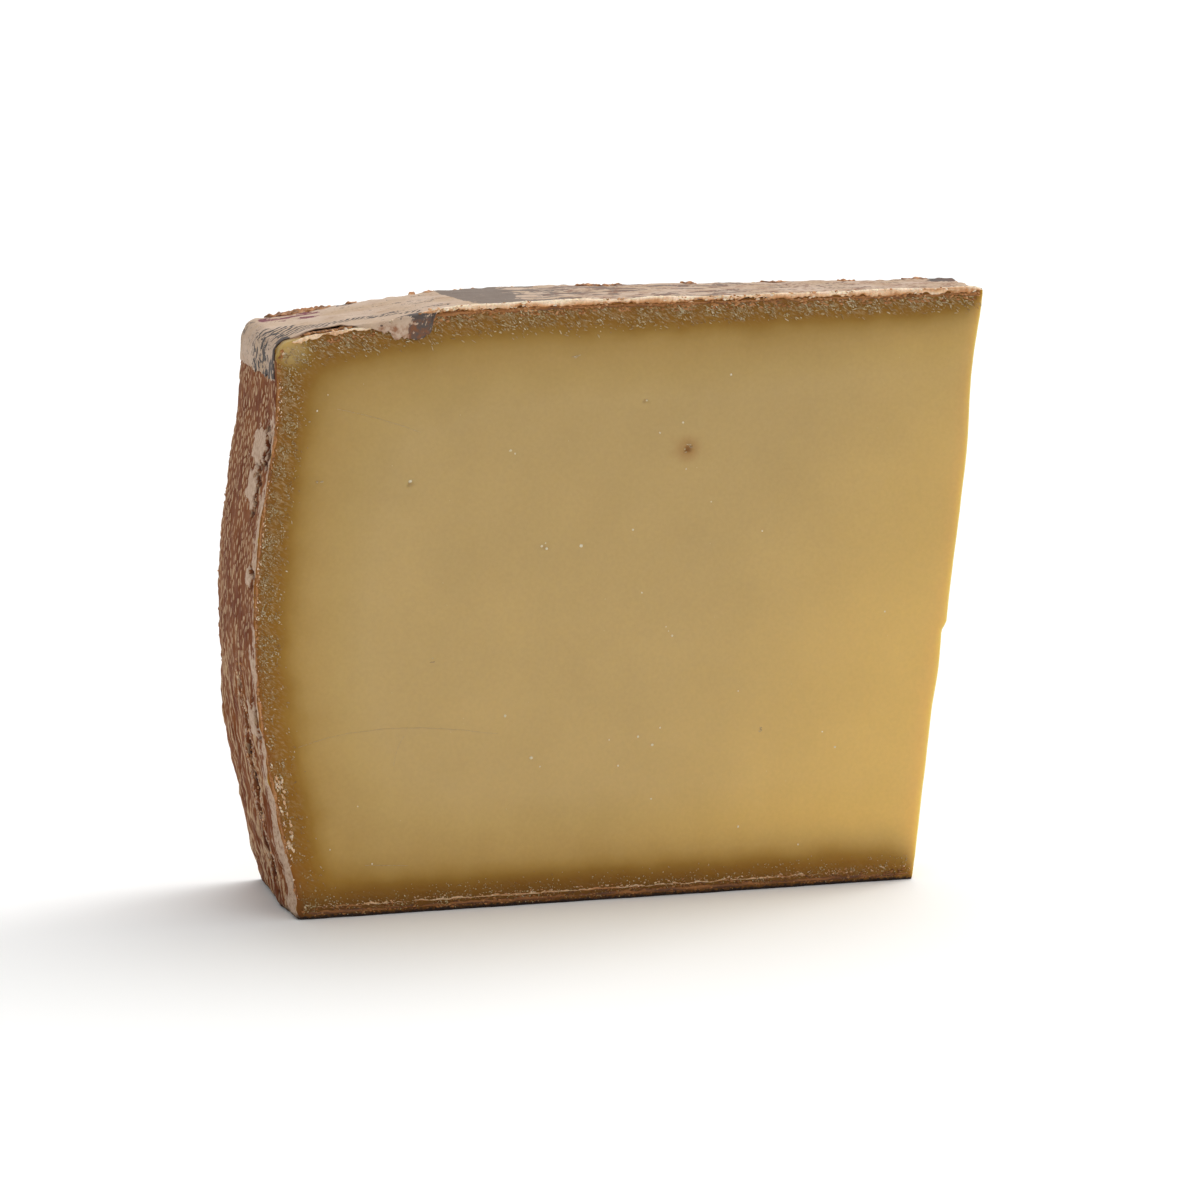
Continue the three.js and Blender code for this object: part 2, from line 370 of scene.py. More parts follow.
# Uncoated paper glued on with the wheel's own proteins, printed, then soaked and worn as it ages
def paperMaterial():
    material, tree, shader, place = newMaterial("agedPrintedPaper")
    wear = add(tree, "TexNoise", {"Vector": place, "Scale": 1 / 0.7, "Detail": 4, "Roughness": 0.65})
    ragged = add(tree, "MapRange", {0: wear, 1: 0, 2: 1, 3: -0.75, 4: 0.75})
    broad = add(tree, "TexNoise", {"Vector": place, "Scale": 1 / 6, "Detail": 4})
    broad = add(tree, "MapRange", {0: broad, 1: 0.35, 2: 0.65})
    paper, pinkish = hexColour(label["paper"]), hexColour(label["pinkish"])
    colour = add(tree, "Mix", {0: broad, 6: paper, 7: pinkish}, 2, data_type="RGBA")
    stain = add(tree, "TexNoise", {"Vector": place, "Scale": 1 / 3, "Detail": 5, "Roughness": 0.65})
    stain = add(tree, "MapRange", {0: stain, 1: 0.52, 2: 0.72, 3: 0, 4: 0.55})
    colour = add(tree, "Mix", {0: stain, 6: colour, 7: hexColour(label["soaked"])}, 2, data_type="RGBA")

    # bare fibres where the surface is rubbed, and small dark specks of rind
    rubbed = add(tree, "MapRange", {0: wear, 1: 0.56, 2: 0.72, 3: 0, 4: 0.5})
    colour = add(tree, "Mix", {0: rubbed, 6: colour, 7: hexColour(label["fibre"])}, 2, data_type="RGBA")
    dirt = add(tree, "TexNoise", {"Vector": place, "Scale": 1 / 0.9, "Detail": 5, "Roughness": 0.75})
    dirt = add(tree, "MapRange", {0: dirt, 1: 0.6, 2: 0.7, 3: 0, 4: 0.7})
    colour = add(tree, "Mix", {0: dirt, 6: colour, 7: hexColour(label["dirt"])}, 2, data_type="RGBA")

    # plain blocks of ink, worn through in streaks
    for name, ink in label["inks"].items():
        layer = add(tree, "Attribute", {}, "Fac", attribute_name=name)
        shown = add(tree, "Math", {0: layer, 1: ragged}, operation="ADD")
        shown = add(tree, "MapRange", {0: shown, 1: 0.48, 2: 0.6, 3: 0, 4: 0.9})
        present = add(tree, "MapRange", {0: layer, 1: 0.02, 2: 0.12})
        shown = add(tree, "Math", {0: shown, 1: present}, operation="MULTIPLY")
        colour = add(tree, "Mix", {0: shown, 6: colour, 7: hexColour(ink)}, 2, data_type="RGBA")

    # a printed border of fine slanting lines
    sheet = add(tree, "UVMap", {}, uv_map="sheet")
    slanted = add(tree, "Mapping", {"Vector": sheet, "Rotation": (0, 0, math.radians(38))})
    lines = add(tree, "TexWave", {"Vector": slanted, "Scale": 30, "Distortion": 1.2, "Detail": 2}, 1)
    lines = add(tree, "MapRange", {0: lines, 1: 0.45, 2: 0.6, 3: 0, 4: 0.9})
    hatch = add(tree, "Attribute", {}, "Fac", attribute_name="hatch")
    shown = add(tree, "Math", {0: hatch, 1: ragged}, operation="ADD")
    shown = add(tree, "MapRange", {0: shown, 1: 0.4, 2: 0.55})
    shown = add(tree, "Math", {0: shown, 1: lines}, operation="MULTIPLY")
    present = add(tree, "MapRange", {0: hatch, 1: 0.02, 2: 0.12})
    shown = add(tree, "Math", {0: shown, 1: present}, operation="MULTIPLY")
    colour = add(tree, "Mix", {0: shown, 6: colour, 7: hexColour(label["hatch"])}, 2, data_type="RGBA")

    # the lap's foot has soaked through and is nearly one with the rind
    soak = add(tree, "Attribute", {}, "Fac", attribute_name="soak")
    soaked = add(tree, "Math", {0: soak, 1: ragged}, operation="ADD")
    soaked = add(tree, "MapRange", {0: soaked, 1: 0.3, 2: 0.8, 3: 0, 4: 0.85})
    colour = add(tree, "Mix", {0: soaked, 6: colour, 7: hexColour(rind["brown"])}, 2, data_type="RGBA")
    tree.links.new(colour, shader["Base Color"])
    bump = add(tree, "Bump", {"Height": wear, "Strength": 0.45, "Distance": 0.2 * mm})
    tree.links.new(bump, shader["Normal"])
    shader["Roughness"].default_value = 0.8
    shader["IOR"].default_value = 1.45
    return material


# A line of points across and up in mm, with its running length
def makeTrack(points):
    points = np.array(points, float)
    steps = np.linalg.norm(np.diff(points, axis=0), axis=1)
    run = np.concatenate([[0], np.cumsum(steps)])
    return {"points": points, "run": run, "length": run[-1]}


def onTrack(track, distance):
    return np.stack([np.interp(distance, track["run"], track["points"][:, i]) for i in (0, 1)], -1)


# The direction that lies to the left of a track, which is outwards on the rim and the top
def leftOfTrack(track, distance, reach=0.7):
    distance = np.asarray(distance, float)
    ahead = onTrack(track, np.minimum(distance + reach, track["length"]))
    behind = onTrack(track, np.maximum(distance - reach, 0))
    step = ahead - behind
    step = step / np.linalg.norm(step, axis=-1, keepdims=True)
    return np.stack([-step[..., 1], step[..., 0]], -1)


# The angle of the cut planes, the place of the wheel's axis, and the outline of the slice's middle section
def measureSlice():
    bm = bmesh.new()
    bm.from_mesh(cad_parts["cheese_wedge"].data)
    bmesh.ops.remove_doubles(bm, verts=bm.verts, dist=1e-6)
    places = [v.co / mm for v in bm.verts]
    rimPoint = max(places, key=lambda p: p.y)
    innerPoint = max((p for p in places if p.y > 0), key=lambda p: p.x)
    slope = (rimPoint.y - innerPoint.y) / (innerPoint.x - rimPoint.x)
    everything = bm.verts[:] + bm.edges[:] + bm.faces[:]
    cut = bmesh.ops.bisect_plane(bm, geom=everything, dist=1e-7, plane_co=(0, 0, 0), plane_no=(0, 1, 0))
    section = [(e.co.x / mm, e.co.z / mm) for e in cut["geom_cut"] if isinstance(e, bmesh.types.BMVert)]
    bm.free()
    middle = np.mean(section, axis=0)
    foot = max((p for p in section if p[1] < 1e-3), key=lambda p: p[0])
    start = math.atan2(foot[1] - middle[1], foot[0] - middle[0])

    # clockwise from the foot of the inner end
    def bearing(p):
        return round(start - math.atan2(p[1] - middle[1], p[0] - middle[0]), 6) % 6.283184

    return math.atan(slope), rimPoint.x + rimPoint.y / slope, np.array(sorted(section, key=bearing))


halfAngle, axisX, outline = measureSlice()
leanings = np.degrees(np.arctan2(np.diff(outline[:, 1]), np.diff(outline[:, 0])))
lowerCorner = next(i for i, lean in enumerate(leanings) if 20 < lean < 135)
upperCorner = next(i for i, lean in enumerate(leanings) if i > lowerCorner and lean < 45)
innerTop = int(np.argmax(outline[:, 0] + outline[:, 1]))
baseTrack = makeTrack(outline[:lowerCorner + 1][::-1])
rimTrack = makeTrack(outline[lowerCorner:upperCorner + 1])
topTrack = makeTrack(outline[upperCorner:innerTop + 1])
innerTrack = makeTrack([outline[0], outline[innerTop]])
rimFront = outline[:, 0].min()  # the rim's widest point
tracks = {"rim": rimTrack, "top": topTrack, "base": baseTrack}
print("slice measured:", round(math.degrees(2 * halfAngle), 2), "degrees between the cuts")


# A point of a cut face, from its place in the section; side is -1 for the near face and 1 for the far one
def facePoint(across, up, side, out=0.0):
    reach = axisX - across
    x = axisX - reach * math.cos(halfAngle) + out * math.sin(halfAngle)
    y = side * (reach * math.sin(halfAngle) + out * math.cos(halfAngle))
    return Vector((x, y, up))


# Smooth noise at one place, about -1 to 1
def waver(x, y, z):
    return noise.noise(Vector((x, y, z)))


# Fractal noise at points in mm, about -1 to 1; size is in mm, one for each axis
def grain(points, size, seed, octaves=3):
    scaled = np.asarray(points, float) / np.array(size) + seed * 17.31
    return np.array([noise.fractal(Vector(p), 1.0, 2.0, octaves) for p in scaled])


# How far points of the section are under the rind, in mm; less in the corners, which dry from two sides
def depthUnderRind(section):
    total = np.zeros(len(section))
    for track in (baseTrack, rimTrack, topTrack):
        nearest = np.full(len(section), 1e9)
        for a, b in zip(track["points"][:-1], track["points"][1:]):
            span = b - a
            share = np.clip(((section - a) @ span) / (span @ span), 0, 1)
            nearest = np.minimum(nearest, np.linalg.norm(section - a - share[:, None] * span, axis=1))
        if track is topTrack:  # the label keeps the top from drying so deep
            nearest *= 1.15 + 0.22 * smooth(section[:, 0] - rimFront, 85, 130)
        total += np.maximum(nearest, 0.01) ** -2.8
    return total ** (-1 / 2.8)


def smooth(value, low, high):
    share = np.clip((value - low) / (high - low), 0, 1)
    return share * share * (3 - 2 * share)


def finishPiece(name, bm, materials):
    mesh = bpy.data.meshes.new(name)
    bmesh.ops.transform(bm, matrix=Matrix.Scale(mm, 4), verts=bm.verts)
    bm.to_mesh(mesh)
    bm.free()
    for material in materials:
        mesh.materials.append(material)
    piece = bpy.data.objects.new(name, mesh)
    bpy.context.scene.collection.objects.link(piece)
    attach(piece, "root")
    print(name, "made:", len(mesh.polygons), "faces")
    return piece


def setAttribute(mesh, name, values):
    mesh.attributes.new(name, "FLOAT", "POINT").data.foreach_set("value", np.asarray(values, np.float32))


body = {
    "fineStep": 0.42,  # mesh step next to the rind, in mm
    "stepUp": 0.68,
    "stepAcross": 2.3,
    "fineTop": 10,
    "fineBase": 8,
    "fineRim": 9,
    "fineInner": 3,
    "layers": 54,  # mesh steps from one cut face to the other
    "holeStain": 3.3,  # how far the first opening is stained round
}

# Openings in the near face: mm in from the rim, mm up, radius, depth, how far round it the mesh is finer
openings = [
    (81, 82.4, 0.85, 0.6, 4.0),
    (28.9, 78.3, 0.7, 0.5, 3.2),
    (73, 91.5, 0.5, 0.35, 3.2),
    (54, 65.8, 0.9, 0.25, 3.2),
]


# Shares along a line: fine steps near both ends and coarse ones between
def spacedShares(length, fineStart, fineEnd, coarse):
    fine = body["fineStep"]
    first = np.arange(0, fineStart, fine)
    middle = np.linspace(fineStart, length - fineEnd, round((length - fineStart - fineEnd) / coarse) + 1)
    last = length - np.arange(0, fineEnd, fine)
    return np.unique(np.concatenate([first, middle, last]).round(5)) / length


# The middle section as a grid between its four tracks, then spun from one cut plane to the other
def spinSlice():
    us = spacedShares(topTrack["length"], body["fineRim"], body["fineInner"], body["stepAcross"])
    vs = spacedShares(rimTrack["length"], body["fineBase"], body["fineTop"], body["stepUp"])
    bm = bmesh.new()
    bmesh.ops.create_grid(bm, x_segments=len(us) - 1, y_segments=len(vs) - 1, size=0.5)
    uLayer = bm.verts.layers.float.new("u")
    vLayer = bm.verts.layers.float.new("v")
    base, top = (onTrack(t, us * t["length"]) for t in (baseTrack, topTrack))
    rim, inner = (onTrack(t, vs * t["length"]) for t in (rimTrack, innerTrack))
    for vert in bm.verts:
        i = round((vert.co.x + 0.5) * (len(us) - 1))
        j = round((vert.co.y + 0.5) * (len(vs) - 1))
        u, v = us[i], vs[j]
        place = (1 - v) * base[i] + v * top[i] + (1 - u) * rim[j] + u * inner[j]
        place -= (1 - u) * ((1 - v) * base[0] + v * top[0]) + u * ((1 - v) * base[-1] + v * top[-1])
        vert.co = (place[0], 0, place[1])
        vert[uLayer], vert[vLayer] = u, v
    axis = Vector((axisX, 0, 0))
    bmesh.ops.rotate(bm, verts=bm.verts, cent=axis, matrix=Matrix.Rotation(halfAngle, 3, "Z"))
    everything = bm.verts[:] + bm.edges[:] + bm.faces[:]
    bmesh.ops.spin(
        bm, geom=everything, cent=axis, axis=(0, 0, 1), dvec=(0, 0, 0), angle=-2 * halfAngle,
        steps=body["layers"], use_merge=False, use_normal_flip=False, use_duplicate=False,
    )
    rimEdges = [e for e in bm.edges if all(v[uLayer] < 1e-6 for v in e.verts)]
    bmesh.ops.subdivide_edges(bm, edges=rimEdges, cuts=1, use_grid_fill=True)
    for across, up, radius, deep, finer in openings:
        centre = facePoint(rimFront + across, up, -1)
        close = [e for e in bm.edges if all((v.co - centre).length < finer for v in e.verts)]
        bmesh.ops.subdivide_edges(bm, edges=close, cuts=3, use_grid_fill=True)
    bmesh.ops.recalc_face_normals(bm, faces=bm.faces)
    return bm, uLayer, vLayer


# How far the rim's rind stands out, at s mm across its thickness from the near edge and z mm up
rimRind = {
    "cloth": 0.13,  # height of the pressing cloth's print
    "clothAcross": 1.6,  # distance between its threads
    "clothUp": 2.1,
    "waves": 0.34,
    "wrinkles": 0.2,
    "crackDepth": 0.85,
    "crackAcross": 12.5,  # from the near cut edge
    # bare flakes: across, up and the two half sizes
    "flakes": [(9, 85, 5, 3.2), (10, 77, 4, 3.4), (4.5, 62, 2.2, 1.6), (5, 36, 3, 3)],
    "flakeHeight": 0.3,
}


# The middle of the rim's long crack, in mm across from the near cut edge
def crackCentre(z):
    return rimRind["crackAcross"] + 2.2 * grain(np.stack([z * 0, z, z * 0], -1), (9, 9, 9), 6)


# Staggered short marks, as a coarse pressing cloth leaves them
def clothPrint(s, z, flat):
    column = s / rimRind["clothAcross"] + 0.55 * grain(flat, (4, 5, 1), 3)
    row = z / rimRind["clothUp"] + 0.5 * (np.floor(column) % 2) + 0.6 * grain(flat, (3.4, 3.4, 1), 31)
    cell = np.stack([np.floor(column), np.floor(row), 0 * s], -1)
    strength = 0.42 + 1.3 * grain(cell, (1.37, 1.73, 1), 32, 1) + 0.5 * grain(flat, (7, 11, 1), 34)
    mark = 1 - ((column % 1 - 0.5) / 0.34) ** 2 - ((row % 1 - 0.5) / 0.46) ** 2
    return smooth(mark * np.clip(strength + 0.25, 0, 1.2), 0, 0.55)


def rimRelief(s, z):
    flat = np.stack([s, z, np.zeros_like(s)], -1)
    lower = smooth(z, 66, 34)
    waves = rimRind["waves"] * grain(flat, (7, 9, 9), 1)
    lumps = 0.4 * lower * grain(flat, (3.2, 5, 5), 2)
    fibres = smooth(grain(flat, (0.9, 5, 1), 4, 2), 0.0, 0.35)
    imprint = clothPrint(s, z, flat) * (1 - 0.6 * lower) + fibres * lower * 0.8
    wrinkles = rimRind["wrinkles"] * lower * grain(flat, (1.3, 9, 1), 5)
    broken = smooth(grain(flat, (2.4, 2.4, 3), 7), -0.3, 0.05)
    near = np.abs(s - crackCentre(z)) / (0.8 + 0.35 * broken)
    below = smooth(z, 47, 38) * smooth(z, 1, 5)
    crack = np.exp(-near ** 2) * broken * below
    lips = np.exp(-(near - 2) ** 2 / 0.5) * below
    flake = np.zeros_like(s)
    ragged = grain(flat, (1.6, 1.3, 1), 8)
    pits = np.zeros_like(s)
    for across, up, halfAcross, halfUp in rimRind["flakes"]:
        radius = np.hypot((s - across) / halfAcross, (z - up) / halfUp) + 0.6 * ragged
        flake = np.maximum(flake, smooth(radius, 1.08, 0.9))
        besideIt = smooth(s, across, across - 0.5 * halfAcross)
        pits = np.maximum(pits, np.exp(-((radius - 1.3) / 0.16) ** 2) * besideIt)
    strip = 2.3 + 1.8 * grain(np.stack([z * 0, z, z * 0], -1), (7, 7, 7), 9) + 3.5 * smooth(z, 44, 18)
    torn = grain(flat, (0.9, 5, 1), 33)
    smear = smooth(s + 1.4 * ragged + 4 * torn, strip + 0.8, strip - 0.8) * smooth(z, 98, 90)
    fuller = 1.0 * smooth(z, 46, 22) * smooth(z, 0, 9) * smooth(s, 8, 37)
    height = waves + lumps + wrinkles + fuller + rimRind["cloth"] * imprint * (1 - flake)
    height += rimRind["flakeHeight"] * flake + 0.36 * lips - rimRind["crackDepth"] * crack - 0.5 * pits
    pale = np.maximum.reduce([flake, 0.75 * smear, 0.55 * lips])
    # the last value is the painted shade for the crack and the pits
    return height, imprint * (1 - flake) * (1 - smear), pale, np.clip(crack * 1.8 + pits, 0, 1)


# The near edge of the upper face droops less than the far one: mm that it stands higher
def nearLift(across):
    return 0.7 * smooth(across, 7, 11) * smooth(across, 48, 34)


def topLift(across, s):
    flat = np.stack([across, s, np.zeros_like(s)], -1)
    return 0.2 * grain(flat, (6, 5, 5), 11) + nearLift(across) * smooth(s, 16, 2)


# The inner end was cut in two strokes, which leaves a low hump over a step
def innerHump(y, z):
    hump = 0.85 * smooth(z, 46.4, 48.4) * smooth(z, 94, 66) + 0.4 * np.exp(-((z - 40) / 5) ** 2)
    hump += 0.55 * np.exp(-((z - 80) / 8) ** 2) + 0.35 * smooth(z, 98, 107)
    return hump + 0.14 * grain(np.stack([y, z, 0 * z], -1), (9, 12, 9), 13)


# A cut face has a slow wave, and is rough where the knife tore the dry paste under the rind
def cutFaceRelief(section, depth, seed):
    flat = np.stack([section[:, 0], 0 * depth, section[:, 1]], -1)
    drag = math.radians(paste["dragAngle"])
    along = flat[:, 0] * math.cos(drag) - flat[:, 2] * math.sin(drag)
    over = flat[:, 0] * math.sin(drag) + flat[:, 2] * math.cos(drag)
    torn = grain(np.stack([along, 0 * along, over], -1), (1.7, 1, 0.55), seed)
    wave = 0.16 * grain(flat, (40, 40, 40), seed + 2, 2)
    return wave + 0.13 * torn * smooth(depth, 8, 4) - 0.22 * smooth(depth, 0.7, 0)


def makeSlice():
    bm, uLayer, vLayer = spinSlice()
    bm.verts.ensure_lookup_table()
    u = np.array([vert[uLayer] for vert in bm.verts])
    v = np.array([vert[vLayer] for vert in bm.verts])
    co = np.array([vert.co for vert in bm.verts])
    reach = np.hypot(axisX - co[:, 0], co[:, 1])
    turn = np.arctan2(co[:, 1], axisX - co[:, 0])
    reach *= 1 + u * (1 / np.cos(turn) - 1)  # the inner end is cut flat
    section = np.stack([axisX - reach, co[:, 2]], -1)
    depth = depthUnderRind(section)
    rimDistance = section[:, 0] - onTrack(rimTrack, v * rimTrack["length"])[:, 0]
    topDistance = onTrack(topTrack, u * topTrack["length"])[:, 1] - section[:, 1]
    innerDistance = onTrack(innerTrack, v * innerTrack["length"])[:, 0] - section[:, 0]
    isNear, isFar = turn < -halfAngle + 1e-4, turn > halfAngle - 1e-4
    isRim, isInner, isBase, isTop = u < 1e-5, u > 1 - 1e-5, v < 1e-5, v > 1 - 1e-5

    # in the section plane: x away from the wheel's axis is negative
    push = np.zeros_like(section)
    imprint, patch, crack, out = np.zeros((4, len(u)))
    touched = rimDistance < 14
    s = (turn[touched] + halfAngle) * (axisX - rimFront)
    height, imprint[touched], patch[touched], crack[touched] = rimRelief(s, section[touched, 1])
    fade = np.exp(-np.maximum(rimDistance[touched], 0) / 3) * np.where(isTop[touched], 0.3, 1)
    push[touched] += (height * fade)[:, None] * leftOfTrack(rimTrack, v[touched] * rimTrack["length"])
    touched = topDistance < 12
    lift = topLift(section[touched, 0] - rimFront, (turn[touched] + halfAngle) * reach[touched])
    push[touched, 1] += lift * np.exp(-np.maximum(topDistance[touched], 0) / 3)
    touched = section[:, 1] < 9
    flat = np.stack([co[touched, 0], co[touched, 1], 0 * u[touched]], -1)
    edge = np.maximum(isNear[touched] | isFar[touched], isRim[touched])
    ragged = np.maximum((0.12 + 0.3 * grain(flat, (4, 4, 4), 12)) * edge, 0)
    push[touched, 1] += ragged * np.exp(-section[touched, 1] / 2.5)
    push[:, 0] += innerHump(co[:, 1], section[:, 1]) * np.exp(-np.maximum(innerDistance, 0) / 7)

    # out from the cut faces
    for cut, seed in ((isNear, 21), (isFar, 22)):
        out[cut] = cutFaceRelief(section[cut], depth[cut], seed)
    uneven = grain(np.stack([section[:, 0], section[:, 1], 0 * u], -1), (0.8, 0.8, 1), 24)
    for across, up, radius, deep, finer in openings:
        gap = np.hypot(section[:, 0] - rimFront - across, section[:, 1] - up)
        gap += 0.3 * radius * uneven * (gap < 4)
        out -= isNear * deep * smooth(gap, radius, radius * 0.25)
    gap = np.hypot(section[:, 0] - rimFront - openings[0][0], section[:, 1] - openings[0][1])
    stain = isNear * (0.55 * smooth(gap, body["holeStain"], 0.4) + 0.3 * smooth(gap, 0.9, 0.4))

    # painted glow: the thin corner beside the torn paper and the inner edge get extra depth under the rind,
    # which paints them paler as if light came through them
    corner = ((section[:, 0] - rimFront - 6.9) / 2.9) ** 2 + ((section[:, 1] - 103.3) / 2.9) ** 2
    bare = np.maximum((turn + halfAngle) * (axisX - section[:, 0]), 0)
    glow = 15 * np.exp(-corner - (bare / 2.4) ** 2)
    depth += glow + 6 * np.exp(-np.maximum(innerDistance, 0) / 2.5)
    section += push
    reach = axisX - section[:, 0]
    x = axisX - reach * np.cos(turn) + out * math.sin(halfAngle)
    y = reach * np.sin(turn) + out * math.cos(halfAngle) * np.where(isFar, 1, -1)
    for vert, place in zip(bm.verts, np.stack([x, y, np.maximum(section[:, 1], 0)], -1)):
        vert.co = place

    # the rind and the three cut faces meet in sharp edges
    sides = bm.verts.layers.int.new("sides")
    for vert, near, far, inner, outside in zip(bm.verts, isNear, isFar, isInner, isRim | isBase | isTop):
        vert[sides] = near + 2 * far + 4 * inner + 8 * outside
    for face in bm.faces:
        shared = 15
        for vert in face.verts:
            shared &= vert[sides]
        bared = min(glow[vert.index] for vert in face.verts) > 4
        face.material_index = 0 if shared & 8 and not shared & 7 and not bared else 1
        face.smooth = True
    for edge in bm.edges:
        shared = edge.verts[0][sides] & edge.verts[1][sides]
        edge.smooth = bin(shared).count("1") < 2
    tree = BVHTree.FromBMesh(bm)
    piece = finishPiece("pressed_cheese_slice", bm, [rindMaterial(), pasteMaterial()])
    layers = {"rindDepthWithPaintedGlow": depth, "imprint": imprint, "patch": patch, "crack": crack, "stain": stain}
    for name, values in layers.items():
        setAttribute(piece.data, name, values)
    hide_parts("cheese_wedge")
    return tree


sliceTree = makeSlice()


# A spot on a cut face that is a given depth under the rind, at a distance along one of the tracks
def underRind(track, distance, depth, side):
    inwards = leftOfTrack(track, distance) * (1 if track is baseTrack else -1)
    place = onTrack(track, distance) + inwards * depth
    if track is topTrack and side < 0:
        place[1] += nearLift(place[0] - rimFront) * math.exp(-max(depth, 0) / 3)
    nominal = facePoint(place[0], place[1], side)
    nearest = sliceTree.find_nearest(nominal)[0]
    return nominal if depth < 0 or nearest is None else nearest


# A spot on the cut face itself, from mm in from the rim and mm up
def onFace(across, up, side):
    nominal = facePoint(rimFront + across, up, side)
    return sliceTree.find_nearest(nominal)[0] or nominal


def faceNormal(side):
    return Vector((math.sin(halfAngle), side * math.cos(halfAngle), 0))


# A direction in a cut face, from its angle above the level line that runs towards the wheel's centre
def faceDirection(angle, side):
    level = Vector((math.cos(halfAngle), -side * math.sin(halfAngle), 0))
    return level * math.cos(angle) + Vector((0, 0, math.sin(angle)))


# Many small grains as one piece. Each has a place, a long axis, a normal, three half sizes and a tone.
def makeGrains(name, grains, material, rng, smoothShaded=True):
    whole, part = bmesh.new(), bmesh.new()
    batch = bpy.data.meshes.new("batch")
    for number, (place, along, normal, sizes, tone) in enumerate(grains, 1):
        along = (along - normal * along.dot(normal)).normalized()
        axes = (along * sizes[0], normal.cross(along) * sizes[1], normal * sizes[2])
        shape = Matrix(axes).transposed().to_4x4()
        shape.translation = place
        tumble = Matrix.Rotation(rng.uniform(0, 6.28), 4, Vector((rng.gauss(0, 1), rng.gauss(0, 1), 1)))
        bmesh.ops.create_icosphere(part, subdivisions=1, radius=1, matrix=shape @ tumble)
        if number % 60 == 0 or number == len(grains):  # small batches, because a long mesh slows each call
            part.to_mesh(batch)
            whole.from_mesh(batch)
            part.clear()
    part.free()
    bpy.data.meshes.remove(batch)
    perGrain = len(whole.verts) // len(grains)
    for face in whole.faces:
        face.smooth = smoothShaded
    piece = finishPiece(name, whole, [material])
    setAttribute(piece.data, "tone", np.repeat([g[4] for g in grains], perGrain))


slivers = {
    "perMillimetre": {"rim": 29, "top": 22, "base": 14},
    "band": 5.4,  # mm under the rind that the slivers thin out
    "halfLength": {"rim": (0.12, 0.42), "top": (0.14, 0.62), "base": (0.08, 0.24)},
    "halfWidth": (0.06, 0.13),
    "standOut": 0.07,
    "tilt": {"rim": -50, "top": -33, "base": -20},
    "tiltSpread": {"rim": 42, "top": 20, "base": 60},
    "scratches": [  # fine lines the knife dragged over the near face: mm in from the rim, mm up
        [(15.5, 92.2), (19, 91.4), (23, 90.2), (27, 88.9), (31, 87.4)],
        [(8, 31.6), (13, 33), (18, 33.7), (24, 34.1), (31, 33.9), (38, 33.1), (45, 32)],
        [(25.5, 27.2), (25.8, 29), (26.5, 31), (27.5, 32.6)],
        [(20, 9.3), (24, 9.1), (28, 8.8)],
    ],
    "marks": [
        (81.5, 82.6), (80.7, 82.1), (81.4, 83.1), (60.2, 100), (59.6, 99.8), (11.8, 79.4), (12.6, 79.2),
        (33, 46), (95, 30),
    ],
}


# Slivers of dry paste, torn up and laid down by the knife in the dark band under the rind
def makeSlivers():
    rng = random.Random(5)
    grains = []
    for side in (-1, 1):
        normal = faceNormal(side)
        for name, track in tracks.items():
            for attempt in range(round(track["length"] * slivers["perMillimetre"][name])):
                distance = rng.uniform(0.5, track["length"] - 0.5)
                depth = abs(rng.gauss(0, 1)) * slivers["band"] * 0.42 + rng.uniform(0.4, 1.4)
                place = underRind(track, distance, depth, side)
                clump = waver(place.x / 2.6, side * 5, place.z / 2.6)
                band = slivers["band"] * (1 - 0.35 * (name == "top") * smooth(distance, 40, 100))
                if clump < rng.uniform(-0.6, 0.25) or depth > band * rng.uniform(0.85, 1.25):
                    continue
                if name == "rim" and rng.random() < 0.6 * smooth(place.z, 52, 40):
                    continue
                tilt = math.radians(rng.gauss(slivers["tilt"][name], slivers["tiltSpread"][name]))
                half = rng.uniform(*slivers["halfLength"][name]) * rng.uniform(0.5, 1)
                sizes = (half, min(rng.uniform(*slivers["halfWidth"]), half), rng.uniform(0.05, 0.11))
                tone = min(max(rng.gauss(0.42, 0.16) + 0.25 * clump, 0.12), 0.95)
                lifted = place + normal * slivers["standOut"] * rng.uniform(0, 1)
                grains.append((lifted, faceDirection(tilt, side), normal, sizes, tone))
    normal = faceNormal(-1)
    for line in slivers["scratches"]:
        for (across, up), (nextAcross, nextUp) in zip(line[:-1], line[1:]):
            steps = max(round(math.dist((across, up), (nextAcross, nextUp)) / 0.9), 1)
            angle = math.atan2(nextUp - up, nextAcross - across)
            for step in range(steps):
                share = (step + 0.5) / steps
                spot = (across + share * (nextAcross - across), up + share * (nextUp - up))
                place = onFace(spot[0], spot[1] + rng.uniform(-0.05, 0.05), -1)
                sizes = (rng.uniform(0.4, 0.75), 0.045, 0.02)
                grains.append((place, faceDirection(angle, -1), normal, sizes, rng.uniform(0.52, 0.6)))
    for across, up in slivers["marks"]:
        for fleck in range(3):
            place = onFace(across + rng.gauss(0, 0.3), up + rng.gauss(0, 0.15), -1)
            sizes = (rng.uniform(0.2, 0.4), rng.uniform(0.08, 0.16), 0.06)
            grains.append((place, faceDirection(rng.gauss(0, 0.4), -1), normal, sizes, rng.uniform(0.3, 0.8)))
    material = crumbMaterial("driedPasteSliver", crumb["pasteTones"])
    makeGrains("torn_paste_slivers", grains, material, rng)


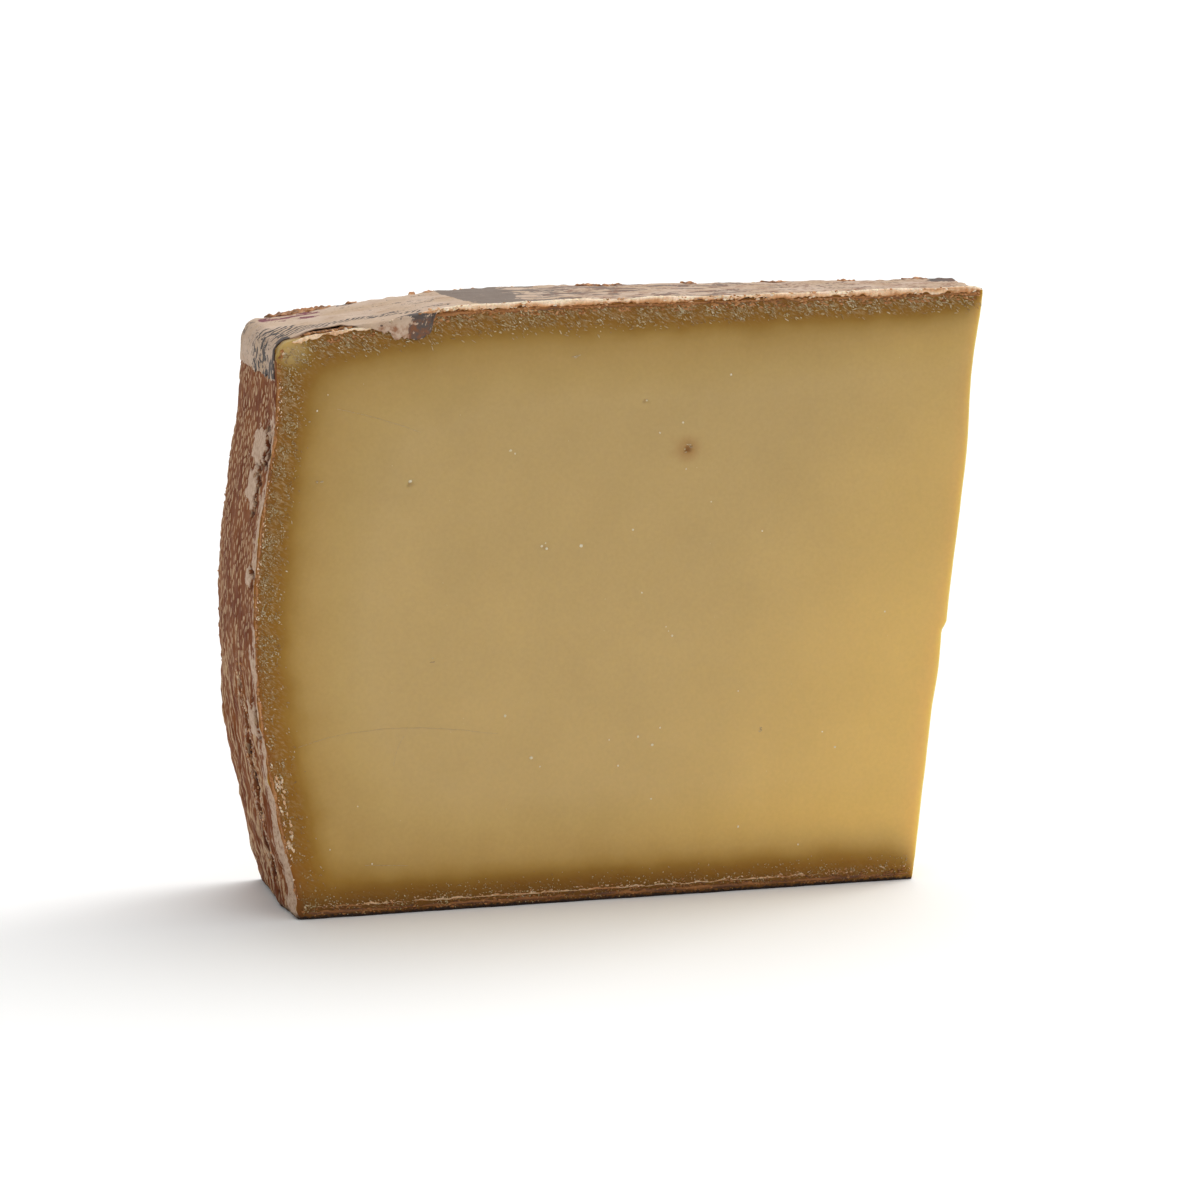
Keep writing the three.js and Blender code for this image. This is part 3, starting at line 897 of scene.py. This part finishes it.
# Crystals on the near cut face: mm in from the rim, mm up, radius
crystals = [
    (47.6, 83.5, 0.42), (48.4, 82.9, 0.25), (53.4, 65.9, 0.42), (54.3, 65.4, 0.4), (54.1, 66.4, 0.28),
    (60.8, 65.6, 0.42), (70.6, 68.1, 0.33), (95.3, 66.8, 0.3), (73.2, 91.5, 0.26), (80.1, 87.3, 0.3),
    (75.7, 85.6, 0.24), (80.7, 78.8, 0.24), (89.2, 95.7, 0.3), (85.5, 72.6, 0.2), (28.9, 78.6, 0.4),
    (11.9, 92, 0.24), (13.9, 94.8, 0.18), (76.9, 50, 0.24), (78.1, 48.3, 0.3), (77.4, 49.2, 0.16),
    (72.3, 56.5, 0.3), (46.4, 35.2, 0.36), (51.3, 27.2, 0.4), (53, 25.5, 0.28), (67.8, 24.8, 0.26),
    (71.6, 30, 0.36), (74.3, 28.3, 0.36), (75.8, 31.4, 0.26), (66.1, 29.7, 0.2), (74.1, 18.3, 0.24),
    (90.9, 12.1, 0.34), (102.6, 8, 0.24), (90.8, 37.4, 0.2), (119.3, 50.7, 0.32), (109.7, 25.9, 0.3),
    (107.2, 28.9, 0.28), (18.8, 20.2, 0.24), (13.6, 12.6, 0.26), (21.4, 9.5, 0.26),
]


def makeCrystals():
    rng = random.Random(11)
    grains = []
    spots = [(across, up, radius, -1) for across, up, radius in crystals]
    for side in (-1, -1, 1, 1, 1):  # faint ones over both faces, and the far face's own larger ones
        for faint in range(16):
            across, up = rng.uniform(16, 122), rng.uniform(12, 98)
            spots.append((across, up, rng.uniform(0.07, 0.15 + 0.08 * side), side))
    for across, up, radius, side in spots:
        place = onFace(across, up, side)
        sizes = [radius * rng.uniform(0.75, 1.15) for axis in "xyz"]
        along = faceDirection(rng.uniform(0, 3), side)
        grains.append((place - faceNormal(side) * radius * 0.5, along, faceNormal(side), sizes, 1.0))
    makeGrains("paste_crystals", grains, crystalMaterial(), rng, smoothShaded=False)


# Torn lips along the cut edges: track, part of it used (mm), depth of the middle, half height, half
# thickness, darkest and lightest tone; a depth below nothing stands above the edge
lips = [
    ("top", (25.8, 133), -0.38, 0.46, 0.24, (0.42, 1.0)),
    ("top", (2, 24.5), 0.2, 0.34, 0.26, (0.6, 1.0)),
    ("top", (20, 133), 0.5, 0.28, 0.1, (0.05, 0.38)),
    ("rim", (5, 99), 0.25, 0.22, 0.1, (0.12, 0.5)),
    ("base", (1, 117), 1.2, 0.26, 0.14, (0.0, 0.26)),
    ("base", (3, 100), 2.2, 0.13, 0.08, (0.3, 0.8)),
]


# Moves the faces of a part into the whole piece
def join(whole, part):
    mesh = bpy.data.meshes.new("part")
    part.to_mesh(mesh)
    part.free()
    whole.from_mesh(mesh)
    bpy.data.meshes.remove(mesh)


def makeLips():
    whole = bmesh.new()
    tones = []
    for number, (name, (start, stop), depth, half, thick, (dark, light)) in enumerate(lips):
        stop = min(stop, tracks[name]["length"])
        for side in (-1, 1):
            part = bmesh.new()
            columns = round((stop - start) / 0.28)
            bmesh.ops.create_grid(part, x_segments=columns, y_segments=8, size=0.5)
            height = depth + 0.75 * (depth < 0 and side == 1)  # the far edge is torn lower
            tone = part.verts.layers.float.new("tone")
            for vert in part.verts:
                share, turn = vert.co.x + 0.5, 2 * math.pi * (vert.co.y + 0.5)
                distance = start + share * (stop - start)
                slow = waver(distance / 2.4, side * 3, number)
                quick = waver(distance / 0.55, side * 3, number + math.cos(turn) * 0.4)
                taper = min(share, 1 - share, 0.02) / 0.02
                broad = waver(distance / 8, side * 3, number + 0.5)
                swell = max(taper * (1 + 0.8 * broad + 0.6 * slow + 0.45 * quick), 0.05)
                lower = height + 0.3 * slow + 0.12 * quick + half * swell * math.cos(turn)
                lower = lower if depth < 0 else max(lower, 0.02)
                place = underRind(tracks[name], distance, lower, side)
                vert.co = place + faceNormal(side) * thick * swell * math.sin(turn)
                colour = 0.5 + 1.1 * waver(distance / 6, side, number + math.cos(turn))
                colour += 0.3 * quick - (0.5 if name == "top" else 0) * math.cos(turn)
                vert[tone] = dark + (light - dark) * min(max(colour, 0), 1)
            bmesh.ops.remove_doubles(part, verts=part.verts, dist=1e-4)
            bmesh.ops.recalc_face_normals(part, faces=part.faces)
            tones += [vert[tone] for vert in part.verts]
            part.verts.layers.float.remove(tone)
            join(whole, part)
    for face in whole.faces:
        face.smooth = True
    material = crumbMaterial("driedRindCrumb", crumb["rindTones"])
    piece = finishPiece("torn_edge_lips", whole, [material])
    setAttribute(piece.data, "tone", tones)


# Rows of crumbs: track, part of it used (mm), crumbs per mm, depth range, half length, tones, stand-out
edgeRows = [
    ("top", (25.6, 133), 4, (-0.85, 0.1), (0.12, 0.5), (0.45, 0.98), 0.2),
    ("top", (8, 24), 5, (-0.2, 0.5), (0.12, 0.4), (0.5, 0.98), 0.2),
    ("top", (8.5, 133), 8, (0.2, 1.7), (0.12, 0.5), (0.16, 0.5), 0.05),
    ("top", (25.6, 133), 3.4, (-0.9, 0.4), (0.12, 0.36), (0.22, 0.45), 0.2),
    ("rim", (3, 104), 3.6, (0.0, 0.6), (0.15, 0.5), (0.12, 0.4), 0.08),
    ("rim", (3, 104), 2.4, (0.2, 1.0), (0.1, 0.3), (0.6, 1.0), 0.12),
    ("rim", (12, 27), 12, (0.8, 2.1), (0.12, 0.5), (0.5, 0.9), 0.05),
    ("base", (0, 117), 5, (2.0, 2.9), (0.08, 0.3), (0.3, 0.8), 0.08),
    ("base", (0, 117), 12, (0.7, 2.1), (0.1, 0.36), (0.02, 0.36), 0.14),
]


# Crumbs, bloom and shreds of rind along the cut edges
def makeEdgeCrumbs():
    rng = random.Random(23)
    grains = []
    for side in (-1, 1):
        for number, (name, (start, stop), density, depths, halves, tones, standOut) in enumerate(edgeRows):
            track = tracks[name]
            for attempt in range(round((stop - start) * density)):
                distance = rng.uniform(start, min(stop, track["length"]))
                depth = rng.uniform(*depths) + 0.75 * (name == "top" and side == 1)
                clump = waver(distance / 2.4, depth / 0.9, number * 7 + side)
                if clump < rng.uniform(-0.4, 0.3):
                    continue
                place = underRind(track, distance, depth, side)
                ahead = onTrack(track, min(distance + 1, track["length"])) - onTrack(track, distance - 0.5)
                angle = math.atan2(ahead[1], ahead[0]) + math.radians(rng.gauss(0, 20))
                half = rng.uniform(*halves)
                sizes = (half, half * rng.uniform(0.35, 0.6), half * rng.uniform(0.3, 0.5))
                out = faceNormal(side) * standOut * rng.uniform(0, 1)
                along = faceDirection(angle, side)
                grains.append((place + out, along, faceNormal(side), sizes, rng.uniform(*tones)))
    for beside in range(190):  # crumbs beside the crack in the rim
        up = rng.uniform(4, 46)
        s = float(crackCentre(np.array([up]))[0]) + rng.choice((-1, 1)) * rng.uniform(0.6, 2.6)
        turn = s / (axisX - rimFront) - halfAngle
        outwards = Vector((-math.cos(turn), math.sin(turn), 0))
        start = Vector((axisX, 0, up)) + outwards * (axisX - rimFront + 5)
        spot = sliceTree.ray_cast(start, -outwards)[0]
        half = rng.uniform(0.12, 0.42)
        sizes = (half, half * 0.6, half * 0.5)
        grains.append((spot, Vector((0, rng.gauss(0, 0.5), 1)), outwards, sizes, rng.uniform(0.15, 0.8)))
    for shred in range(110):  # brown shreds of rind where the border of the paper is torn off
        across, inward = rng.uniform(9.5, 19), rng.uniform(0.2, 2.1)
        above = facePoint(rimFront + across, 125, -1, -inward)
        top = sliceTree.ray_cast(above, Vector((0, 0, -1)))[0]
        half = rng.uniform(0.2, 0.55)
        along = Vector((1, rng.gauss(0, 0.3), rng.gauss(0, 0.2)))
        sizes = (half, half * 0.5, half * 0.45)
        grains.append((top + Vector((0, 0, 0.15)), along, Vector((0, 0, 1)), sizes, rng.uniform(0.05, 0.42)))
    makeGrains("edge_crumbs", grains, crumbMaterial("driedRindCrumb", crumb["rindTones"]), rng)


# The soft blocks of ink on the sheet, from mm in from the rim and mm across from the near edge
def printLayers(across, s, z, width):
    flat = np.stack([across, s, np.zeros_like(s)], -1)
    streak = grain(flat, (7, 1.3, 1), 41)
    blotch = grain(flat, (3.5, 3.5, 1), 42)
    onTop = smooth(across, 2.6, 4.2)
    block = smooth(across + 0.10 * s, 43, 44) * smooth(across + 1.5 * blotch, 54, 51)
    trail = smooth(across, 49, 54) * (0.85 - 0.3 * smooth(across, 70, 110))
    trail *= smooth(streak + 0.4 * blotch, -0.2, 0.25)
    grey = np.clip(0.8 * block + trail, 0, 1) * smooth(s, 0.8, 2.2)
    onLap = smooth(across, 9, 6.5)
    lap = onLap * smooth(s, 22, 17) * smooth(s, 0.4, 1.6)
    grey = np.maximum(grey, onLap * (0.36 + 0.3 * blotch))
    strokes = smooth(grain(np.stack([s, z, 0 * s], -1), (1.7, 2.2, 1), 43), -0.16, 0.08)
    flapInk = smooth(across + 1.5 * blotch, 27.5, 29.5) * smooth(across, 35, 33.2) * smooth(s, 2.5, 0.8)
    flapInk *= 0.5 + 0.5 * smooth(grain(flat, (1.1, 1.1, 1), 44), -0.15, 0.25)
    innerInk = smooth(across + blotch, 131.5, 134) * smooth(across, 139.5, 137.6) * smooth(s, 14, 17)
    rings = 0.6 * smooth(streak, 0.15, 0.4) * smooth(across, 18, 24) * smooth(across, 44, 36) * onTop
    dark = np.clip(lap * strokes + flapInk + innerInk + rings, 0, 1)
    band = smooth(across, 6.5, 9) * smooth(across, 20, 16) * np.exp(-((s - width * 0.84) / 4) ** 2)
    red = np.clip(1.8 * band * smooth(streak, -0.35, 0.0), 0, 0.85)
    edge = 4 + 8 * smooth(across, 3, 9) * smooth(across, 34, 17)
    halfBand = 7.5 - 4.5 * smooth(across, 8, 21) + 2 * blotch
    hatch = smooth(across, 5, 8) * smooth(across, 34, 30)
    hatch *= smooth(np.abs(s - edge), halfBand, halfBand - 1.8)
    soak = (1 - onTop) * smooth(z + 1.1 * blotch, 99.6, 97.2)
    soak = np.maximum(soak, smooth(across, 50, 64) * (0.36 + 0.3 * blotch))
    soak = np.maximum(soak, smooth(s, 0.3, -1.2) * (0.52 + 0.5 * grain(flat, (1.4, 1.4, 1), 45)))
    return {"greyPrint": grey, "darkPrint": dark, "redPrint": red, "hatch": hatch, "soak": soak}


# Where the sheet's near border is, in mm in from the near edge, and how much of it is torn off there
def nearBorder(across, along, onRim):
    flap, missing = label["flap"], label["missing"]
    ragged = 0.25 * waver(along * 1.1, 7.7, 0) + 0.2 * waver(along / 3, 2.2, 0)
    hang = smooth(across, flap["from"] - 0.8, flap["from"] + 0.8)
    hang *= smooth(across, flap["to"] + 0.7, flap["to"] - 0.7)
    tornOff = smooth(across, missing["from"] - 1, missing["from"] + 1)
    tornOff *= smooth(across, missing["to"] + 2.5, missing["to"] - 1)
    over = 0.1 if onRim else label["overhang"] - 0.75 * smooth(across, 33.5, 35)
    shape = 0.12 + 0.8 * smooth(across, 20.5, 29.5) + 0.25 * waver(across * 0.7, 4.1, 0)
    shape += 0.12 * waver(across * 2.3, 1.4, 0)
    near = -(over + ragged) - flap["reach"] * hang * shape + (over + missing["width"]) * tornOff
    return near, tornOff


# A point of the sheet: where it lies on the slice, or hangs over the fold along the near edge
def sheetPoint(section, left, s, width, crease, onRim):
    fold, reach = label["fold"], axisX - section[0]
    turn = -halfAngle + min(max(s, 0.7), width - 0.7) / reach
    normal = Vector((left[0] * math.cos(turn), -left[0] * math.sin(turn), left[1]))
    nominal = Vector((axisX - reach * math.cos(turn), reach * math.sin(turn), section[1]))
    hit = sliceTree.ray_cast(nominal + normal * 4, -normal, 8)[0]
    place = (hit or nominal) + normal * (label["gap"] + crease)
    slip = (s - (turn + halfAngle) * reach) * (s < 0.7 or s > width - 0.7)
    place += Vector((math.sin(turn), math.cos(turn), 0)) * max(slip, -0.7)
    if s >= fold or onRim:
        return place
    bent = min((fold - s) / fold, math.pi / 2)
    drop = fold * (1 - math.cos(bent)) + max(fold - s - fold * math.pi / 2, 0)
    out = label["gap"] + 0.1 + crease - fold * (1 - math.sin(bent))
    return facePoint(section[0], place.z - drop, -1, out)


def makeLabel():
    run = np.append(np.arange(0, rimTrack["length"], 0.05), rimTrack["length"])
    lapStart = float(np.interp(label["lowest"], onTrack(rimTrack, run)[:, 1], run))
    lapLength = rimTrack["length"] - lapStart
    pathLength = lapLength + topTrack["length"]
    bm = bmesh.new()
    columns = round(pathLength / label["stepAlong"])
    bmesh.ops.create_grid(bm, x_segments=columns, y_segments=label["rows"], size=0.5)
    alongLayer = bm.verts.layers.float.new("sheetAlong")
    acrossLayer = bm.verts.layers.float.new("sheetAcross")
    for vert in bm.verts:
        along = (vert.co.x + 0.5) * pathLength
        share = vert.co.y + 0.5
        if along < 2:  # the lap's foot is torn along the rind's print
            along = max(along, 0.9 + 1.1 * waver(share * 22, 3.1, 0))
        onRim = along < lapLength
        track, distance = (rimTrack, lapStart + along) if onRim else (topTrack, along - lapLength)
        section = onTrack(track, distance)
        across = section[0] - rimFront
        width = 2 * halfAngle * (axisX - section[0])
        near, tornOff = nearBorder(across, along, onRim)
        far = width - 0.5 + 1.2 * waver(along / 1.7, 5.5, 0)
        s = near + (far - near) * share
        vert[alongLayer], vert[acrossLayer] = along, s
        crease = label["wrinkles"] * noise.fractal(Vector((along / 4, s / 2.4, 1)), 1.0, 2.0, 3)
        crease = max(crease, -label["gap"] * 0.5)
        lifted = tornOff * smooth(across, 9, 13) * smooth(s, near + 2.5, near)
        crease += 0.5 * lifted - 0.08 * tornOff  # the torn border lifts
        vert.co = sheetPoint(section, leftOfTrack(track, distance), s, width, crease, onRim)
    for face in bm.faces:
        face.smooth = True
    bmesh.ops.recalc_face_normals(bm, faces=bm.faces)
    if sum(face.normal.z for face in bm.faces) < 0:
        bmesh.ops.reverse_faces(bm, faces=bm.faces)
    everything = bm.verts[:] + bm.edges[:] + bm.faces[:]
    bmesh.ops.solidify(bm, geom=everything, thickness=-label["thickness"])
    bmesh.ops.recalc_face_normals(bm, faces=bm.faces)
    along = np.array([vert[alongLayer] for vert in bm.verts])
    s = np.array([vert[acrossLayer] for vert in bm.verts])
    co = np.array([vert.co for vert in bm.verts])
    reach = np.hypot(axisX - co[:, 0], co[:, 1])
    layers = printLayers(axisX - reach - rimFront, s, co[:, 2], 2 * halfAngle * reach)
    piece = finishPiece("glued_paper_sheet", bm, [paperMaterial()])
    for name, values in layers.items():
        setAttribute(piece.data, name, values)
    corner = np.zeros(len(piece.data.loops), int)
    piece.data.loops.foreach_get("vertex_index", corner)
    sheet = piece.data.uv_layers.new(name="sheet")
    places = np.stack([along[corner], s[corner]], -1) * mm * 10
    sheet.data.foreach_set("uv", places.astype(np.float32).ravel())
    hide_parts("paper_label")


# Shreds of rind that stand up along the far top edge: mm in from the rim, length, width, lift
shreds = [
    (12.5, 7, 2.6, 0.45), (16, 9, 1.8, 0.8), (19.5, 4, 1.6, 0.5), (25, 2.2, 1.2, 0.4), (36.3, 1.3, 1.1, 0.8),
    (39.3, 2.2, 1.2, 0.5), (71, 9, 2.2, 0.4), (88, 3, 1.4, 0.3), (104, 5, 1.3, 0.3), (118, 3.5, 1.3, 0.3),
    (131, 5, 1.6, 0.4),
]


def makeShreds():
    whole = bmesh.new()
    for number, (across, length, width, lift) in enumerate(shreds):
        part = bmesh.new()
        columns = max(round(length / 0.3), 5)
        bmesh.ops.create_grid(part, x_segments=columns, y_segments=6, size=0.5)
        for vert in part.verts:
            share = vert.co.x + 0.5
            wide = vert.co.y + 0.5
            taper = math.sin(math.pi * min(max(share, 0.03), 0.97)) ** 0.6
            x = rimFront + across + (share - 0.5) * length
            frayed = 0.55 + 0.9 * abs(waver(x * 1.6, 3.3, number))
            curl = lift * taper * frayed * wide ** 1.6
            curl += 0.4 * waver(x * 1.3, wide * 3, number)
            reach = axisX - x
            turn = halfAngle - (1 - wide) * width * taper / reach - 0.1 / reach
            nominal = Vector((axisX - reach * math.cos(turn), reach * math.sin(turn), 120))
            top = sliceTree.ray_cast(nominal, Vector((0, 0, -1)))[0]
            vert.co = Vector((nominal.x, nominal.y, (top.z if top else 105) + 0.35 + curl))
        bmesh.ops.solidify(part, geom=part.verts[:] + part.edges[:] + part.faces[:], thickness=0.35)
        bmesh.ops.recalc_face_normals(part, faces=part.faces)
        join(whole, part)
    tones = [0.24 + 0.5 * waver(*(vert.co * 0.9)) for vert in whole.verts]
    for face in whole.faces:
        face.smooth = True
    material = crumbMaterial("driedRindCrumb", crumb["rindTones"])
    piece = finishPiece("rind_shreds", whole, [material])
    setAttribute(piece.data, "tone", np.clip(tones, 0.05, 0.8))


def makeFloor():
    bm = bmesh.new()
    bmesh.ops.create_circle(bm, cap_ends=True, segments=64, radius=6)
    mesh = bpy.data.meshes.new("floor")
    bm.to_mesh(mesh)
    bm.free()
    floor = bpy.data.objects.new("floor", mesh)
    bpy.context.scene.collection.objects.link(floor)
    material, shader = newMaterial("matteWhiteBoard")[::2]
    shader["Base Color"].default_value = hexColour("#fbfbfa")
    shader["Roughness"].default_value = 0.9
    mesh.materials.append(material)


makeSlivers()
makeCrystals()
makeLips()
makeEdgeCrumbs()
makeLabel()
makeShreds()
makeFloor()
makeCamera()
makeLights()
bpy.context.scene.view_settings.view_transform = "Standard"
